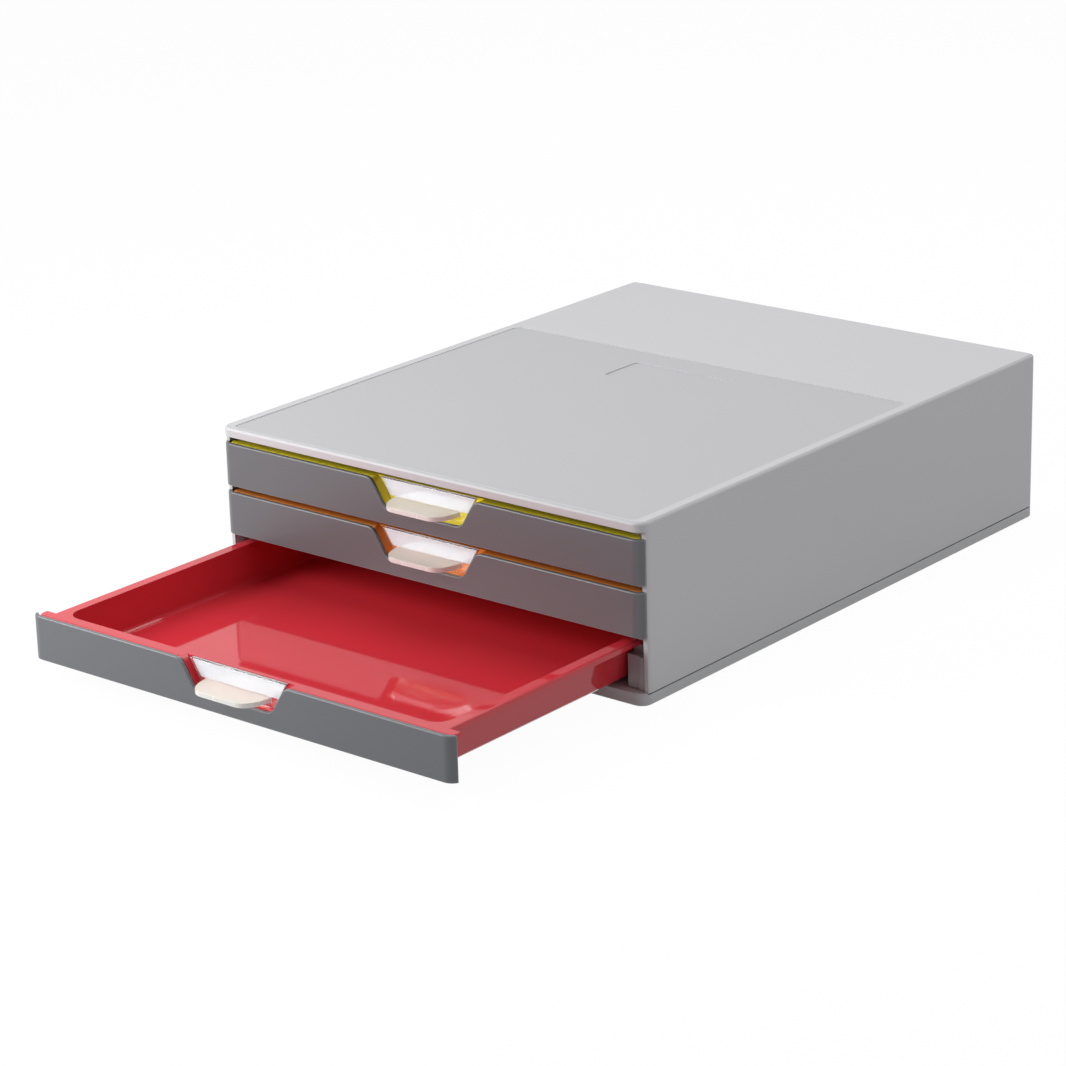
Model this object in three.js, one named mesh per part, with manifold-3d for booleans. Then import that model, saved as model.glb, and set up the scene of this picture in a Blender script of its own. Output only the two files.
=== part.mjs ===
// Desktop file drawer: a flat case with three sliding trays for A4 sheets, the bottom one pulled out.
// Millimetres, +Z up. X runs from left to right, and the drawers open towards -Y.
import * as THREE from 'three';
import { mergeVertices } from 'three/addons/utils/BufferGeometryUtils.js';
import Module from 'manifold-3d';

const wasm = await Module();
wasm.setup();

// Whole object
const caseWidth = 280;
const caseDepth = 356;
const caseHeight = 95;
const levelCount = 3;
const openTravel = 141.2;
const fullTravel = 250;

// Shared clearances and mesh steps
const seatGap = 0.3;
const overrun = 1;
const arcSteps = 3;
const filletSteps = 4;

// Case
const frontRadius = 6.5;
const backRadius = 3.5;
const sharpCorner = 0.3;
const caseWall = 2.2;
const topThickness = 2.6;
const topEdgeRadius = 1.8;
const topFrontHeight = 5.2;
const topFrontThickness = 2.4;
const sideSetback = 3.9;
const fieldDepth = 0.4;
const fieldSideBorder = 6.5;
const fieldFrontBorder = 3;
const fieldBack = 238;
const fieldBackRadius = 4.5;
const fieldFrontRadius = 4;
const plateWidth = 66;
const plateFront = 190;
const plateBack = 220;
const plateDepth = 0.6;
const plateRadius = 3;

// Base
const baseHeight = 7.2;
const skirtHeight = 6.4;
const skirtWall = 2;
const skirtLift = 0.6;
const skirtEdgeRadius = 0.8;
const shadowLine = 0.6;
const deckThickness = 2.2;
const baseRibWidth = 1.6;
const baseRibFoot = 1.4;
const baseRibsAcross = 5;
const baseRibsAlong = 3;
const footRadius = 7;
const footHeight = 2;
const footEdge = 0.6;
const footWall = 1.8;
const footInsetX = 26;
const footInsetY = 30;
const roundSteps = 24;

// Drawer fronts
const baseGap = 1.8;
const revealGap = 3.5;
const coverWall = 2;
const coverReturn = 3.6;
const coverLipDepth = 5.2;
const coverLipThickness = 0.7;
const coverLipEnd = 16;
const notchTopHalf = 34.6;
const notchBottomHalf = 25.2;
const notchDepth = 15.2;
const notchTopRound = 3.4;
const notchBottomRound = 3.4;

// Trays
const trayLift = 1;
const trayDrop = 0.3;
const trayWall = 1.5;
const trayFloor = 1.8;
const trayDraft = 3;
const trayFillet = 2.4;
const trayCorner = 5;
const tubFront = 8;
const trayBackGap = 3.8;
const rimWidth = 5.3;
const rimHeight = 3;
const rimSkin = 1.5;
const rimCorner = 2;
const rimBackLip = 2;
const rimEdgeRadius = 1.2;
const rimEdgeSteps = 3;
const flangeEndGap = 0.8;
const flangeCorner = 4;
const lipRibWidth = 1.4;
const lipRibSpacing = 32;
const lipRibsPerSide = 3;
const lipRibStart = 46;
const stopHeight = 1.4;
const stopWidth = 3;
const stopLength = 5;
const stopHeadroom = 0.5;

// Grip window and label
const windowFront = 4.6;
const windowWall = 1.4;
const windowSideGap = 2.4;
const windowBottomGap = 0.4;
const windowTopDrop = 0.4;
const labelThickness = 0.4;
const labelTopDrop = 0.4;
const labelSideGap = 3;
const labelBottomGap = 5.8;
const lipRootHalf = 21.5;
const lipFrontHalf = 18.6;
const lipStraightHalf = 14;
const lipReach = 10.2;
const lipCornerDepth = 3.8;
const lipRootDrop = 9.2;
const lipPlate = 1.4;
const lipBead = 2.6;
const lipBeadWidth = 1.3;

// Side guides
const guideGap = 0.4;
const guideWall = 1.6;
const guideBackGap = 4.8;
const channelInset = 6;
const guideStep = 1;
const channelGap = 0.6;
const postWidth = 3.9;
const nestGap = 0.8;
const nestBelowRim = 4.3;
const guideCells = 6;

// Sizes worked out from the driving values
const caseHalf = caseWidth / 2;
const caseInnerHalf = caseHalf - caseWall;
const frontTop = caseHeight - topFrontHeight;
const levelPitch = (frontTop - baseHeight - baseGap) / levelCount;
const coverHeight = levelPitch - revealGap;
const firstLevel = baseHeight + baseGap;
const caseUnderside = caseHeight - topThickness;
const wallBottom = skirtHeight + shadowLine;
const rimTop = coverHeight - trayDrop;
const rimUnderside = rimTop - rimHeight;
const ledgeHeight = rimUnderside - seatGap;
const nestHeight = rimUnderside - nestBelowRim;
const ceilingHeight = rimTop + stopHeight + stopHeadroom;
const notchBottom = coverHeight - notchDepth;
const pocketBack = windowFront + windowWall + 2 * seatGap + labelThickness;
const coverBack = coverWall + seatGap;
const flangeBack = tubFront + trayWall;
const guideOuterHalf = caseInnerHalf - seatGap;
const channelHalf = guideOuterHalf - channelInset;
const rimHalf = channelHalf - channelGap;
const trayTopHalf = rimHalf - rimWidth;
const guideHalf = trayTopHalf + guideGap;
const flangeHalf = caseHalf - coverWall - flangeEndGap;
const trayBack = caseDepth - caseWall - trayBackGap;
const guideBack = caseDepth - caseWall - guideBackGap;
const guideFront = sideSetback + seatGap;
const nestBack = flangeBack + nestGap;
const stopRibBack = nestBack + guideWall;
const stopFront = stopRibBack + fullTravel + seatGap;
const restShift = (caseDepth - openTravel - lipReach) / 2;

// Turns a closed geometry into a solid that can be joined and cut.
function solid(geometry) {
  geometry.deleteAttribute('normal');
  geometry.deleteAttribute('uv');
  const merged = mergeVertices(geometry);
  return new wasm.Manifold(new wasm.Mesh({
    numProp: 3,
    vertProperties: new Float32Array(merged.attributes.position.array),
    triVerts: new Uint32Array(merged.index.array),
  }));
}

// Turns a solid back into a geometry.
function geometryOf(body) {
  const { vertProperties, triVerts } = body.getMesh();
  const geometry = new THREE.BufferGeometry();
  geometry.setAttribute('position', new THREE.BufferAttribute(new Float32Array(vertProperties), 3));
  geometry.setIndex(new THREE.BufferAttribute(new Uint32Array(triVerts), 1));
  geometry.computeVertexNormals();
  return geometry;
}

function join(...bodies) {
  return bodies.reduce((whole, body) => whole.add(body));
}

function cut(body, ...tools) {
  return tools.reduce((rest, tool) => rest.subtract(tool), body);
}

function block(left, right, front, back, bottom, top) {
  const geometry = new THREE.BoxGeometry(right - left, back - front, top - bottom);
  geometry.translate((left + right) / 2, (front + back) / 2, (bottom + top) / 2);
  return solid(geometry);
}

// A plan outline with its own front and back corner radii, drawn in by an inset.
function plan(half, front, back, cornerFront, cornerBack, inset = 0) {
  const x = half - inset;
  const y0 = front + inset;
  const y1 = back - inset;
  const r0 = Math.max(cornerFront - inset, sharpCorner);
  const r1 = Math.max(cornerBack - inset, sharpCorner);
  const shape = new THREE.Shape();
  shape.absarc(x - r0, y0 + r0, r0, -Math.PI / 2, 0, false);
  shape.absarc(x - r1, y1 - r1, r1, 0, Math.PI / 2, false);
  shape.absarc(r1 - x, y1 - r1, r1, Math.PI / 2, Math.PI, false);
  shape.absarc(r0 - x, y0 + r0, r0, Math.PI, 3 * Math.PI / 2, false);
  return shape;
}

function casePlan(inset) {
  return plan(caseHalf, 0, caseDepth, frontRadius, backRadius, inset);
}

// A plan outline raised between two heights.
function raise(shape, bottom, top) {
  const geometry = new THREE.ExtrudeGeometry(shape, {
    depth: top - bottom, bevelEnabled: false, curveSegments: arcSteps,
  });
  geometry.translate(0, 0, bottom);
  return solid(geometry);
}

// A front outline, drawn in X and Z, pushed back between two depths.
function push(shape, front, back) {
  const geometry = new THREE.ExtrudeGeometry(shape, {
    depth: back - front, bevelEnabled: false, curveSegments: arcSteps,
  });
  geometry.rotateX(Math.PI / 2);
  geometry.translate(0, back, 0);
  return solid(geometry);
}

// A side outline, drawn in Y and Z, stretched between two places across.
function stretch(shape, left, right) {
  const geometry = new THREE.ExtrudeGeometry(shape, {
    depth: right - left, bevelEnabled: false, curveSegments: arcSteps,
  });
  const turn = new THREE.Matrix4().makeBasis(
    new THREE.Vector3(0, 1, 0), new THREE.Vector3(0, 0, 1), new THREE.Vector3(1, 0, 0));
  geometry.applyMatrix4(turn);
  geometry.translate(left, 0, 0);
  return solid(geometry);
}

// A closed body through a stack of plan outlines with equal numbers of points.
function loft(levels) {
  const rings = levels.map(({ shape, z }) => {
    const points = shape.getPoints(arcSteps);
    if (points[0].distanceTo(points[points.length - 1]) < seatGap / 100) points.pop();
    return points.map((point) => new THREE.Vector3(point.x, point.y, z));
  });
  const count = rings[0].length;
  const index = [];
  for (let ring = 0; ring + 1 < rings.length; ring += 1) {
    for (let i = 0; i < count; i += 1) {
      const a = ring * count + i;
      const b = ring * count + (i + 1) % count;
      index.push(a, b, b + count, a, b + count, a + count);
    }
  }
  const flat = rings[0].map((point) => new THREE.Vector2(point.x, point.y));
  const last = (rings.length - 1) * count;
  const top = rings[rings.length - 1].map((point) => new THREE.Vector2(point.x, point.y));
  THREE.ShapeUtils.triangulateShape(flat, []).forEach(([a, b, c]) => index.push(a, c, b));
  THREE.ShapeUtils.triangulateShape(top, []).forEach(([a, b, c]) => {
    index.push(last + a, last + b, last + c);
  });
  const geometry = new THREE.BufferGeometry().setFromPoints(rings.flat());
  geometry.setIndex(index);
  return solid(geometry);
}

// The grip notch: a trapezium with a round bottom, widening into the top edge.
function notchOutline(inset, bottom, top, topRound) {
  const slopeOut = (notchTopHalf - notchBottomHalf) / notchDepth;
  const halfAt = (z) => notchBottomHalf - inset + slopeOut * (z - notchBottom);
  const round = notchBottomRound;
  const shape = new THREE.Shape();
  const side = (sign) => [sign * halfAt(bottom + round), bottom + round];
  shape.moveTo(round - halfAt(bottom), bottom);
  shape.lineTo(halfAt(bottom) - round, bottom);
  shape.quadraticCurveTo(halfAt(bottom), bottom, ...side(1));
  if (topRound > 0) {
    shape.lineTo(halfAt(coverHeight - topRound), coverHeight - topRound);
    shape.quadraticCurveTo(halfAt(coverHeight), coverHeight, halfAt(coverHeight) + topRound, coverHeight);
    shape.lineTo(halfAt(coverHeight) + topRound, top);
    shape.lineTo(-halfAt(coverHeight) - topRound, top);
    shape.lineTo(-halfAt(coverHeight) - topRound, coverHeight);
    shape.quadraticCurveTo(
      -halfAt(coverHeight), coverHeight, -halfAt(coverHeight - topRound), coverHeight - topRound);
  } else {
    shape.lineTo(halfAt(top), top);
    shape.lineTo(-halfAt(top), top);
  }
  shape.lineTo(...side(-1));
  shape.quadraticCurveTo(-halfAt(bottom), bottom, round - halfAt(bottom), bottom);
  return shape;
}

// Case shell: top, two side walls and back in one moulding, open at the front and below.
function makeCaseShell() {
  const levels = [{ shape: casePlan(0), z: wallBottom }];
  for (let i = 0; i <= filletSteps; i += 1) {
    const angle = (Math.PI / 2) * (i / filletSteps);
    levels.push({
      shape: casePlan(topEdgeRadius * (1 - Math.cos(angle))),
      z: caseHeight - topEdgeRadius * (1 - Math.sin(angle)),
    });
  }
  const outside = loft(levels);
  const inside = cut(
    raise(casePlan(caseWall), wallBottom - overrun, caseUnderside),
    block(-caseHalf, caseHalf, -overrun, topFrontThickness, frontTop, caseHeight));
  const mouth = block(-caseHalf - overrun, caseHalf + overrun, -overrun, sideSetback,
    wallBottom - overrun, frontTop);
  const field = raise(
    plan(caseHalf - fieldSideBorder, fieldFrontBorder, fieldBack, fieldFrontRadius, fieldBackRadius),
    caseHeight - fieldDepth, caseHeight + overrun);
  const plate = raise(
    plan(plateWidth / 2, plateFront, plateBack, plateRadius, plateRadius),
    caseHeight - fieldDepth - plateDepth, caseHeight + overrun);
  return cut(outside, inside, mouth, field, plate);
}

const footPlaces = [
  { name: 'foot_front_left', x: footInsetX - caseHalf, y: footInsetY },
  { name: 'foot_front_right', x: caseHalf - footInsetX, y: footInsetY },
  { name: 'foot_rear_left', x: footInsetX - caseHalf, y: caseDepth - footInsetY },
  { name: 'foot_rear_right', x: caseHalf - footInsetX, y: caseDepth - footInsetY },
];

function disc(radius, x, y, bottom, top) {
  const geometry = new THREE.CylinderGeometry(radius, radius, top - bottom, roundSteps);
  geometry.rotateX(Math.PI / 2);
  geometry.translate(x, y, (bottom + top) / 2);
  return solid(geometry);
}

// Base: a deck with a skirt round its edge, ribs below and a socket for each foot.
function makeBase() {
  const deckBottom = baseHeight - deckThickness;
  const outside = loft([
    { shape: casePlan(skirtEdgeRadius), z: skirtLift },
    { shape: casePlan(0), z: skirtLift + skirtEdgeRadius },
    { shape: casePlan(0), z: baseHeight },
  ]);
  const hollow = raise(casePlan(skirtWall), skirtLift - overrun, deckBottom);
  const deck = raise(casePlan(caseWall + seatGap), 0, caseHeight);
  const wallSeat = cut(block(-caseHalf - overrun, caseHalf + overrun, coverReturn, caseDepth + overrun,
    skirtHeight, baseHeight + overrun), deck);
  let body = cut(outside, hollow, wallSeat);
  const ribBottom = skirtLift + baseRibFoot;
  for (let i = 1; i <= baseRibsAcross; i += 1) {
    const y = caseDepth * (i / (baseRibsAcross + 1));
    body = body.add(block(skirtWall - caseHalf, caseHalf - skirtWall,
      y - baseRibWidth / 2, y + baseRibWidth / 2, ribBottom, deckBottom + overrun));
  }
  for (let i = 1; i <= baseRibsAlong; i += 1) {
    const x = caseWidth * (i / (baseRibsAlong + 1)) - caseHalf;
    body = body.add(block(x - baseRibWidth / 2, x + baseRibWidth / 2,
      skirtWall, caseDepth - skirtWall, ribBottom, deckBottom + overrun));
  }
  for (const { x, y } of footPlaces) {
    const socket = footRadius + seatGap;
    body = body.add(disc(socket + footWall, x, y, skirtLift + footEdge, deckBottom + overrun));
    body = body.subtract(disc(socket, x, y, 0, footHeight + seatGap));
  }
  return body;
}

// Foot: a rubber disc with a narrowed lower edge, turned about its own axis.
function makeFoot({ x, y }) {
  const profile = [
    new THREE.Vector2(0, 0),
    new THREE.Vector2(footRadius - footEdge, 0),
    new THREE.Vector2(footRadius, footEdge),
    new THREE.Vector2(footRadius, footHeight),
    new THREE.Vector2(0, footHeight),
  ];
  const geometry = new THREE.LatheGeometry(profile, roundSteps);
  geometry.rotateX(Math.PI / 2);
  geometry.translate(x, y, 0);
  return solid(geometry);
}

// Side guide: a ribbed panel with a ledge and a channel for the rim of each tray.
function makeGuide(sign) {
  const across = (inner, outer, front, back, bottom, top) => block(
    Math.min(sign * inner, sign * outer), Math.max(sign * inner, sign * outer), front, back, bottom, top);
  const bodies = [];
  const hollows = [];
  const cellLength = (guideBack - nestBack - guideWall) / guideCells;
  for (let level = 0; level <= levelCount; level += 1) {
    const start = firstLevel + level * levelPitch;
    const below = start - levelPitch + ceilingHeight;
    const bottom = level === 0 ? baseHeight + seatGap : below;
    const top = level === levelCount ? caseUnderside - seatGap : start + ledgeHeight;
    bodies.push(across(guideHalf, guideOuterHalf + overrun, guideFront + guideStep, guideBack, bottom, top));
    bodies.push(across(guideOuterHalf - postWidth, guideOuterHalf + overrun, guideFront, guideBack,
      bottom, top));
    const open = level === levelCount ? overrun : -guideWall;
    for (let cell = 0; cell < guideCells; cell += 1) {
      const front = nestBack + guideWall + cell * cellLength;
      hollows.push(across(guideHalf + guideWall, guideOuterHalf + overrun,
        front, front + cellLength - guideWall, bottom + guideWall, top + open));
    }
    if (level < levelCount) {
      hollows.push(across(guideHalf - overrun, guideOuterHalf + overrun, guideFront - overrun, nestBack,
        start + nestHeight, start + ceilingHeight));
      hollows.push(across(guideHalf + guideWall, guideOuterHalf - guideWall,
        guideFront + guideStep + guideWall, nestBack + guideWall + overrun,
        bottom + guideWall, start + nestHeight - guideWall));
      const wall = across(channelHalf, channelHalf + guideWall, nestBack, guideBack,
        start + ledgeHeight - guideWall, start + ceilingHeight + guideWall);
      const rib = across(guideHalf, channelHalf + guideWall / 2, nestBack, stopRibBack,
        start + ceilingHeight - stopHeight, start + ceilingHeight + guideWall);
      bodies.push(wall, rib);
    }
  }
  const room = raise(casePlan(caseWall + seatGap), 0, caseHeight);
  return cut(join(...bodies).intersect(room), ...hollows);
}

// Front cover: a thin plate with ends curved back round the tray, notched for the grip.
function makeFrontCover() {
  const outside = raise(casePlan(0), 0, coverHeight);
  const inside = raise(casePlan(coverWall), -overrun, coverHeight + overrun);
  const behind = block(-caseHalf - overrun, caseHalf + overrun, coverReturn, caseDepth + overrun,
    -overrun, coverHeight + overrun);
  const lip = block(coverLipEnd - caseHalf, caseHalf - coverLipEnd, coverWall / 2, coverLipDepth,
    0, coverLipThickness);
  const notch = push(notchOutline(0, notchBottom, coverHeight + overrun, notchTopRound),
    -overrun, coverLipDepth);
  return cut(join(cut(outside, inside, behind), lip), notch);
}

// The rim seen from above: a flange across the front and a narrower strip round the tub.
function rimPlan(inset) {
  const front = flangeHalf - flangeCorner;
  const back = rimHalf - rimCorner;
  const flangeEdge = flangeBack - inset;
  const frontRound = flangeCorner - inset;
  const backRound = rimCorner - inset;
  const shape = new THREE.Shape();
  shape.absarc(front, coverBack + flangeCorner, frontRound, -Math.PI / 2, 0, false);
  shape.lineTo(flangeHalf - inset, flangeEdge);
  shape.lineTo(rimHalf - inset, flangeEdge);
  shape.absarc(back, trayBack - rimCorner, backRound, 0, Math.PI / 2, false);
  shape.absarc(-back, trayBack - rimCorner, backRound, Math.PI / 2, Math.PI, false);
  shape.lineTo(inset - rimHalf, flangeEdge);
  shape.lineTo(inset - flangeHalf, flangeEdge);
  shape.absarc(-front, coverBack + flangeCorner, frontRound, Math.PI, 3 * Math.PI / 2, false);
  return shape;
}

// Rim: a flat strip with a rounded upper edge.
function makeRim() {
  const levels = [{ shape: rimPlan(0), z: rimUnderside }];
  for (let i = 0; i <= rimEdgeSteps; i += 1) {
    const angle = (Math.PI / 2) * (i / rimEdgeSteps);
    levels.push({
      shape: rimPlan(rimEdgeRadius * (1 - Math.cos(angle))),
      z: rimTop - rimEdgeRadius * (1 - Math.sin(angle)),
    });
  }
  return loft(levels);
}

// Stop wedge on a rim: a ramp towards the front, so that the tray snaps in from there.
function makeStop(sign) {
  const bottom = rimTop - rimSkin / 2;
  const top = rimTop + stopHeight;
  const wedge = new THREE.Shape();
  wedge.moveTo(stopFront, bottom);
  wedge.lineTo(stopFront + stopLength, bottom);
  wedge.lineTo(stopFront + stopLength, rimTop);
  wedge.lineTo(stopFront + stopLength / 4, top);
  wedge.lineTo(stopFront, top);
  const middle = sign * (rimHalf - stopWidth);
  return stretch(wedge, middle - stopWidth / 2, middle + stopWidth / 2);
}

// Tray: a drafted tub with a hollow rim, a flange behind the cover and a pocket for the grip.
function makeTray() {
  const tubCorner = trayCorner + trayDraft + trayFillet;
  const tub = (inset) => plan(
    trayTopHalf, tubFront, trayBack - rimBackLip, tubCorner, tubCorner, inset);
  const insetAt = (z) => trayDraft * (rimTop - z) / (rimTop - trayLift);
  const rimCore = rimTop - rimSkin / 2;
  const outside = loft([
    { shape: tub(insetAt(trayLift) + trayWall), z: trayLift },
    { shape: tub(insetAt(trayLift + trayWall)), z: trayLift + trayWall },
    { shape: tub(insetAt(rimCore)), z: rimCore },
  ]);
  const insideLevels = [];
  for (let i = 0; i <= filletSteps; i += 1) {
    const angle = (Math.PI / 2) * (i / filletSteps);
    const z = trayLift + trayFloor + trayFillet * (1 - Math.cos(angle));
    insideLevels.push({ shape: tub(insetAt(z) + trayWall + trayFillet * (1 - Math.sin(angle))), z });
  }
  insideLevels.push({ shape: tub(trayWall), z: rimTop });
  insideLevels.push({ shape: tub(trayWall), z: rimTop + overrun });
  const flangeHollow = block(rimSkin - flangeHalf, flangeHalf - rimSkin, coverBack + rimSkin, tubFront,
    rimUnderside - overrun, rimTop - rimSkin);
  const webBack = tubFront + 2 * trayDraft;
  const sillHalf = trayTopHalf - trayDraft - trayCorner;
  const parts = [
    cut(join(outside, makeRim()), flangeHollow),
    block(-sillHalf, sillHalf, coverBack, webBack, trayLift + seatGap, trayLift + trayWall),
    push(notchOutline(-trayWall, notchBottom - trayWall, rimCore, 0), coverBack, webBack),
  ];
  for (let i = 0; i < lipRibsPerSide; i += 1) {
    for (const sign of [-1, 1]) {
      const x = sign * (lipRibStart + i * lipRibSpacing);
      parts.push(block(x - lipRibWidth / 2, x + lipRibWidth / 2, coverBack, webBack,
        trayLift + trayWall / 2, rimCore));
    }
  }
  const notch = notchOutline(0, notchBottom, coverHeight + overrun, notchTopRound);
  let body = cut(join(...parts), loft(insideLevels), push(notch, coverBack - overrun, pocketBack));
  for (const sign of [-1, 1]) {
    const inner = sign * trayTopHalf;
    const outer = sign * (rimHalf - rimSkin);
    body = body.subtract(block(Math.min(inner, outer), Math.max(inner, outer),
      flangeBack + rimSkin, trayBack - rimSkin, rimUnderside - overrun, rimTop - rimSkin));
    body = body.add(makeStop(sign));
  }
  return body;
}

// Grip lip seen from above: root inside the window, sides drawn in towards rounded front corners.
function lipOutline(inset) {
  const root = windowFront + windowWall / 2;
  const side = lipFrontHalf - inset;
  const corner = lipFrontHalf - lipStraightHalf;
  const front = lipCornerDepth + inset - lipReach;
  const shape = new THREE.Shape();
  shape.moveTo(inset - lipRootHalf, root);
  shape.lineTo(-side, front);
  shape.absellipse(corner - side, front, corner, lipCornerDepth, Math.PI, 3 * Math.PI / 2, false);
  shape.absellipse(side - corner, front, corner, lipCornerDepth, 3 * Math.PI / 2, 2 * Math.PI, false);
  shape.lineTo(lipRootHalf - inset, root);
  return shape;
}

// Grip window: a clear plate before the label with a level lip in front, beaded round its edge.
function makeGripWindow() {
  const lipTop = coverHeight - lipRootDrop;
  const plate = push(
    notchOutline(windowSideGap, notchBottom + windowBottomGap, coverHeight - windowTopDrop, 0),
    windowFront, windowFront + windowWall);
  const lip = cut(raise(lipOutline(0), lipTop - lipBead, lipTop),
    raise(lipOutline(lipBeadWidth), lipTop - lipBead - overrun, lipTop - lipPlate));
  return join(plate, lip);
}

// Label: a paper card between the window and the tray.
function makeLabel() {
  const front = windowFront + windowWall + seatGap;
  return push(
    notchOutline(labelSideGap, notchBottom + labelBottomGap, coverHeight - labelTopDrop, 0),
    front, front + labelThickness);
}

const drawer = new THREE.Group();

function plastic(color, roughness, options = {}) {
  return new THREE.MeshStandardMaterial({ color, roughness, metalness: 0, ...options });
}

function addPiece(group, name, body, material) {
  const mesh = new THREE.Mesh(geometryOf(body), material);
  mesh.name = name;
  group.add(mesh);
}

drawer.position.set(0, -restShift, 0);
addPiece(drawer, 'case_shell', makeCaseShell(), plastic(0xc9cacd, 0.5));
addPiece(drawer, 'base_plate', makeBase(), plastic(0xb4b5b8, 0.5));
addPiece(drawer, 'guide_left', makeGuide(-1), plastic(0xb9babd, 0.5));
addPiece(drawer, 'guide_right', makeGuide(1), plastic(0xb9babd, 0.5));
for (const place of footPlaces) {
  addPiece(drawer, place.name, makeFoot(place), plastic(0x2f3032, 0.9));
}

const drawerLevels = [
  { name: 'bottom', level: 0, open: openTravel, color: 0xb3252f },
  { name: 'middle', level: 1, open: 0, color: 0xe6813a },
  { name: 'top', level: 2, open: 0, color: 0xe8d53c },
];

for (const { name, level, open, color } of drawerLevels) {
  const group = new THREE.Group();
  group.position.set(0, -open, firstLevel + level * levelPitch);
  addPiece(group, `tray_${name}`, makeTray(), plastic(color, 0.15));
  addPiece(group, `front_cover_${name}`, makeFrontCover(), plastic(0x77797c, 0.45));
  addPiece(group, `grip_window_${name}`, makeGripWindow(),
    plastic(0xf4f6f7, 0.05, { transparent: true, opacity: 0.4 }));
  addPiece(group, `label_card_${name}`, makeLabel(), plastic(0xf7f7f5, 0.8));
  drawer.add(group);
}

export default drawer;
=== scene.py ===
"""Dresses the desktop file drawer: moulded case, polished trays, clear grips, studio and camera."""
import logging
import math
from collections.abc import Callable, Iterable
from dataclasses import dataclass, field
from enum import Enum, IntEnum

import bmesh
import bpy
from mathutils import Matrix, Vector


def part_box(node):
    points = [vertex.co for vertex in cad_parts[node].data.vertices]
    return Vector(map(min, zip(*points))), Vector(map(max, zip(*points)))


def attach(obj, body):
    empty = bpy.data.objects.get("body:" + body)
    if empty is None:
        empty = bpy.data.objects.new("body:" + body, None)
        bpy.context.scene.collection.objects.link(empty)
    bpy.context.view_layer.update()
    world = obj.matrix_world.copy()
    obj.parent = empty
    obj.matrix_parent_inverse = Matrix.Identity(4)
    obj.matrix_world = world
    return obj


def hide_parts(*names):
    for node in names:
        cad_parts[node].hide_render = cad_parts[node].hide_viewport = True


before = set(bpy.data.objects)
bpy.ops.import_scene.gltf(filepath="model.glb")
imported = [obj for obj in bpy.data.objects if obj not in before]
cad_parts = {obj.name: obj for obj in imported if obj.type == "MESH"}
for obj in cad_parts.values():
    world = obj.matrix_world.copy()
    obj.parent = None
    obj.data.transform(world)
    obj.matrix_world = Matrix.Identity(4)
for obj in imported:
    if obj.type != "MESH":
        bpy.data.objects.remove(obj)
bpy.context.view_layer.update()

LOG = logging.getLogger("file_drawer")
MM = 0.001
QUARTER = math.pi / 2
OVERRUN = 1.0 * MM  # How far a cutting tool passes the surface that it cuts
SEAM = 0.002 * MM  # Points closer than this are one point
LEAST_CORNER = 0.3 * MM  # A corner keeps this radius when its outline is drawn in
SHARP = math.radians(38)  # Edges that turn by more than this are rounded
FLAT = math.radians(0.6)  # Faces that turn by less than this are one flat face
UPWARD = 0.9  # A face whose normal rises by more than this faces up
UPRIGHT = 0.7  # A face whose normal rises by less than this is a wall
LARGE_FACE_WEIGHT = 80  # How far large faces rule the shading of the rounds beside them
WHITE = "#FFFFFF"

# The sRGB curve: its straight part up to the knee and its power part beyond
SRGB_KNEE = 0.04045
SRGB_SLOPE = 12.92
SRGB_OFFSET = 0.055
SRGB_POWER = 2.4

# The sockets that share a name and are told apart by their number
SUM_FIRST, SUM_SECOND = 0, 1
SHADER_SHARE, SHADER_FIRST, SHADER_SECOND = 0, 1, 2
COLOUR_SHARE, COLOUR_FIRST, COLOUR_SECOND, COLOUR_RESULT = 0, 6, 7, 2

Outline = list[tuple[float, float]]
Ring = list[tuple[float, float, float]]
Values = dict[str | int, object]
Links = dict[str | int, tuple[bpy.types.Node, str | int]]


class Level(Enum):
    """A drawer of the case, by its place in the stack."""

    BOTTOM = "bottom"
    MIDDLE = "middle"
    TOP = "top"


class Corner(Enum):
    """A corner of the base, where a foot sits."""

    FRONT_LEFT = "front_left"
    FRONT_RIGHT = "front_right"
    REAR_LEFT = "rear_left"
    REAR_RIGHT = "rear_right"


class Join(Enum):
    """A way to put two solids together."""

    ADD = "UNION"
    CUT = "DIFFERENCE"


class CaseSkin(IntEnum):
    """A finish of the case, by its place among them."""

    MOULDING = 0
    FIELD = 1


class WindowSkin(IntEnum):
    """A finish of the grip window, by its place among them."""

    PLATE = 0
    LIP = 1
    RIM = 2


def linear(hex_code: str) -> tuple[float, float, float, float]:
    """Turns an sRGB hex colour to linear.

    Args:
        hex_code: Six hex digits with a leading hash.

    Returns:
        The linear red, green and blue with an alpha of one.
    """
    parts = [int(hex_code[i:i + 2], 16) / 255 for i in (1, 3, 5)]
    red, green, blue = [
        part / SRGB_SLOPE if part <= SRGB_KNEE
        else ((part + SRGB_OFFSET) / (1 + SRGB_OFFSET)) ** SRGB_POWER
        for part in parts
    ]
    return red, green, blue, 1.0


def per_metre(size_mm: float) -> float:
    """Gives the texture scale at which one feature measures that many millimetres."""
    return 1.0 / (size_mm * MM)


def add_node(tree: bpy.types.NodeTree, kind: str, inputs: Values | None = None,
             links: Links | None = None, **settings: object) -> bpy.types.Node:
    """Adds a node with its settings and links.

    Args:
        tree: The node tree that takes the node.
        kind: The node's type name.
        inputs: Values by input name or number.
        links: Pairs of a node and its output, by the input that they feed.
        settings: The node's own properties.

    Returns:
        The new node.
    """
    node = tree.nodes.new(kind)
    for name, value in settings.items():
        setattr(node, name, value)
    for name, value in (inputs or {}).items():
        node.inputs[name].default_value = value
    for name, (source, output) in (links or {}).items():
        tree.links.new(source.outputs[output], node.inputs[name])
    return node


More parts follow.
